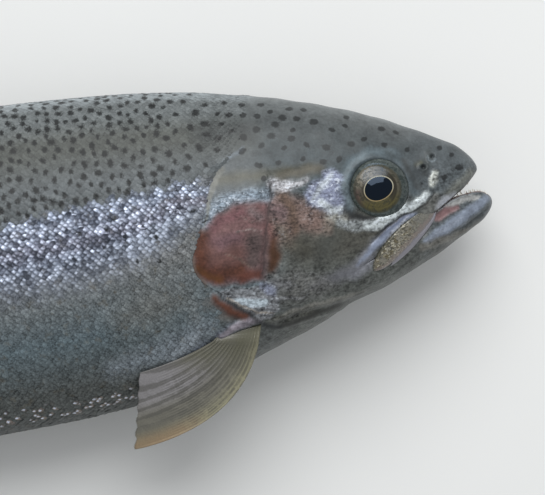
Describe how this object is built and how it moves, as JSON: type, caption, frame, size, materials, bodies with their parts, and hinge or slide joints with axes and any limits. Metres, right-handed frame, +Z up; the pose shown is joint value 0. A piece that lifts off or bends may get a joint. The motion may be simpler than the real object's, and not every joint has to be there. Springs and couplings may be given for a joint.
{
  "type": "rainbow trout",
  "caption": "Still life-size model of a large silvery rainbow trout lying on its left flank, mouth slightly open, tail and fins complete.",
  "frame": {"origin": "middle of the underside of the whole fish's box, on the surface it lies on", "axes": "+X towards the head, +Y towards the back of the fish, +Z up, out of its right flank"},
  "size_m": [0.5288, 0.1882, 0.059],
  "materials": {
    "head_skin": "wet scaleless skin, grey with round dark spots, silver patches and a red cheek",
    "jaw_skin": "wet scaleless skin, lavender lips, olive and pearly maxilla",
    "mouth_lining": "moist pink lining with a pale gum",
    "gill_cover": "smooth wet gill cover, red with silver edges",
    "scaled_skin": "small overlapping silvery scales, olive back with dark spots",
    "fin": "thin membrane over fine rays, olive and grey",
    "eye": "glossy eye with a gold iris and a black pupil"
  },
  "bodies": {
    "root": {"head": "head_skin", "lower_jaw": "jaw_skin", "tongue": "mouth_lining", "maxilla_right": "jaw_skin", "maxilla_left": "jaw_skin", "gill_cover_right": "gill_cover", "gill_cover_left": "gill_cover", "eye_right": "eye", "eye_left": "eye", "trunk_front": "scaled_skin", "trunk_rear": "scaled_skin", "tail_stem": "scaled_skin", "dorsal_fin": "fin", "adipose_fin": "fin", "anal_fin": "fin", "tail_fin_upper": "fin", "tail_fin_lower": "fin", "pectoral_fin_right": "fin", "pectoral_fin_left": "fin", "pelvic_fin_right": "fin", "pelvic_fin_left": "fin"}
  },
  "joints": []
}
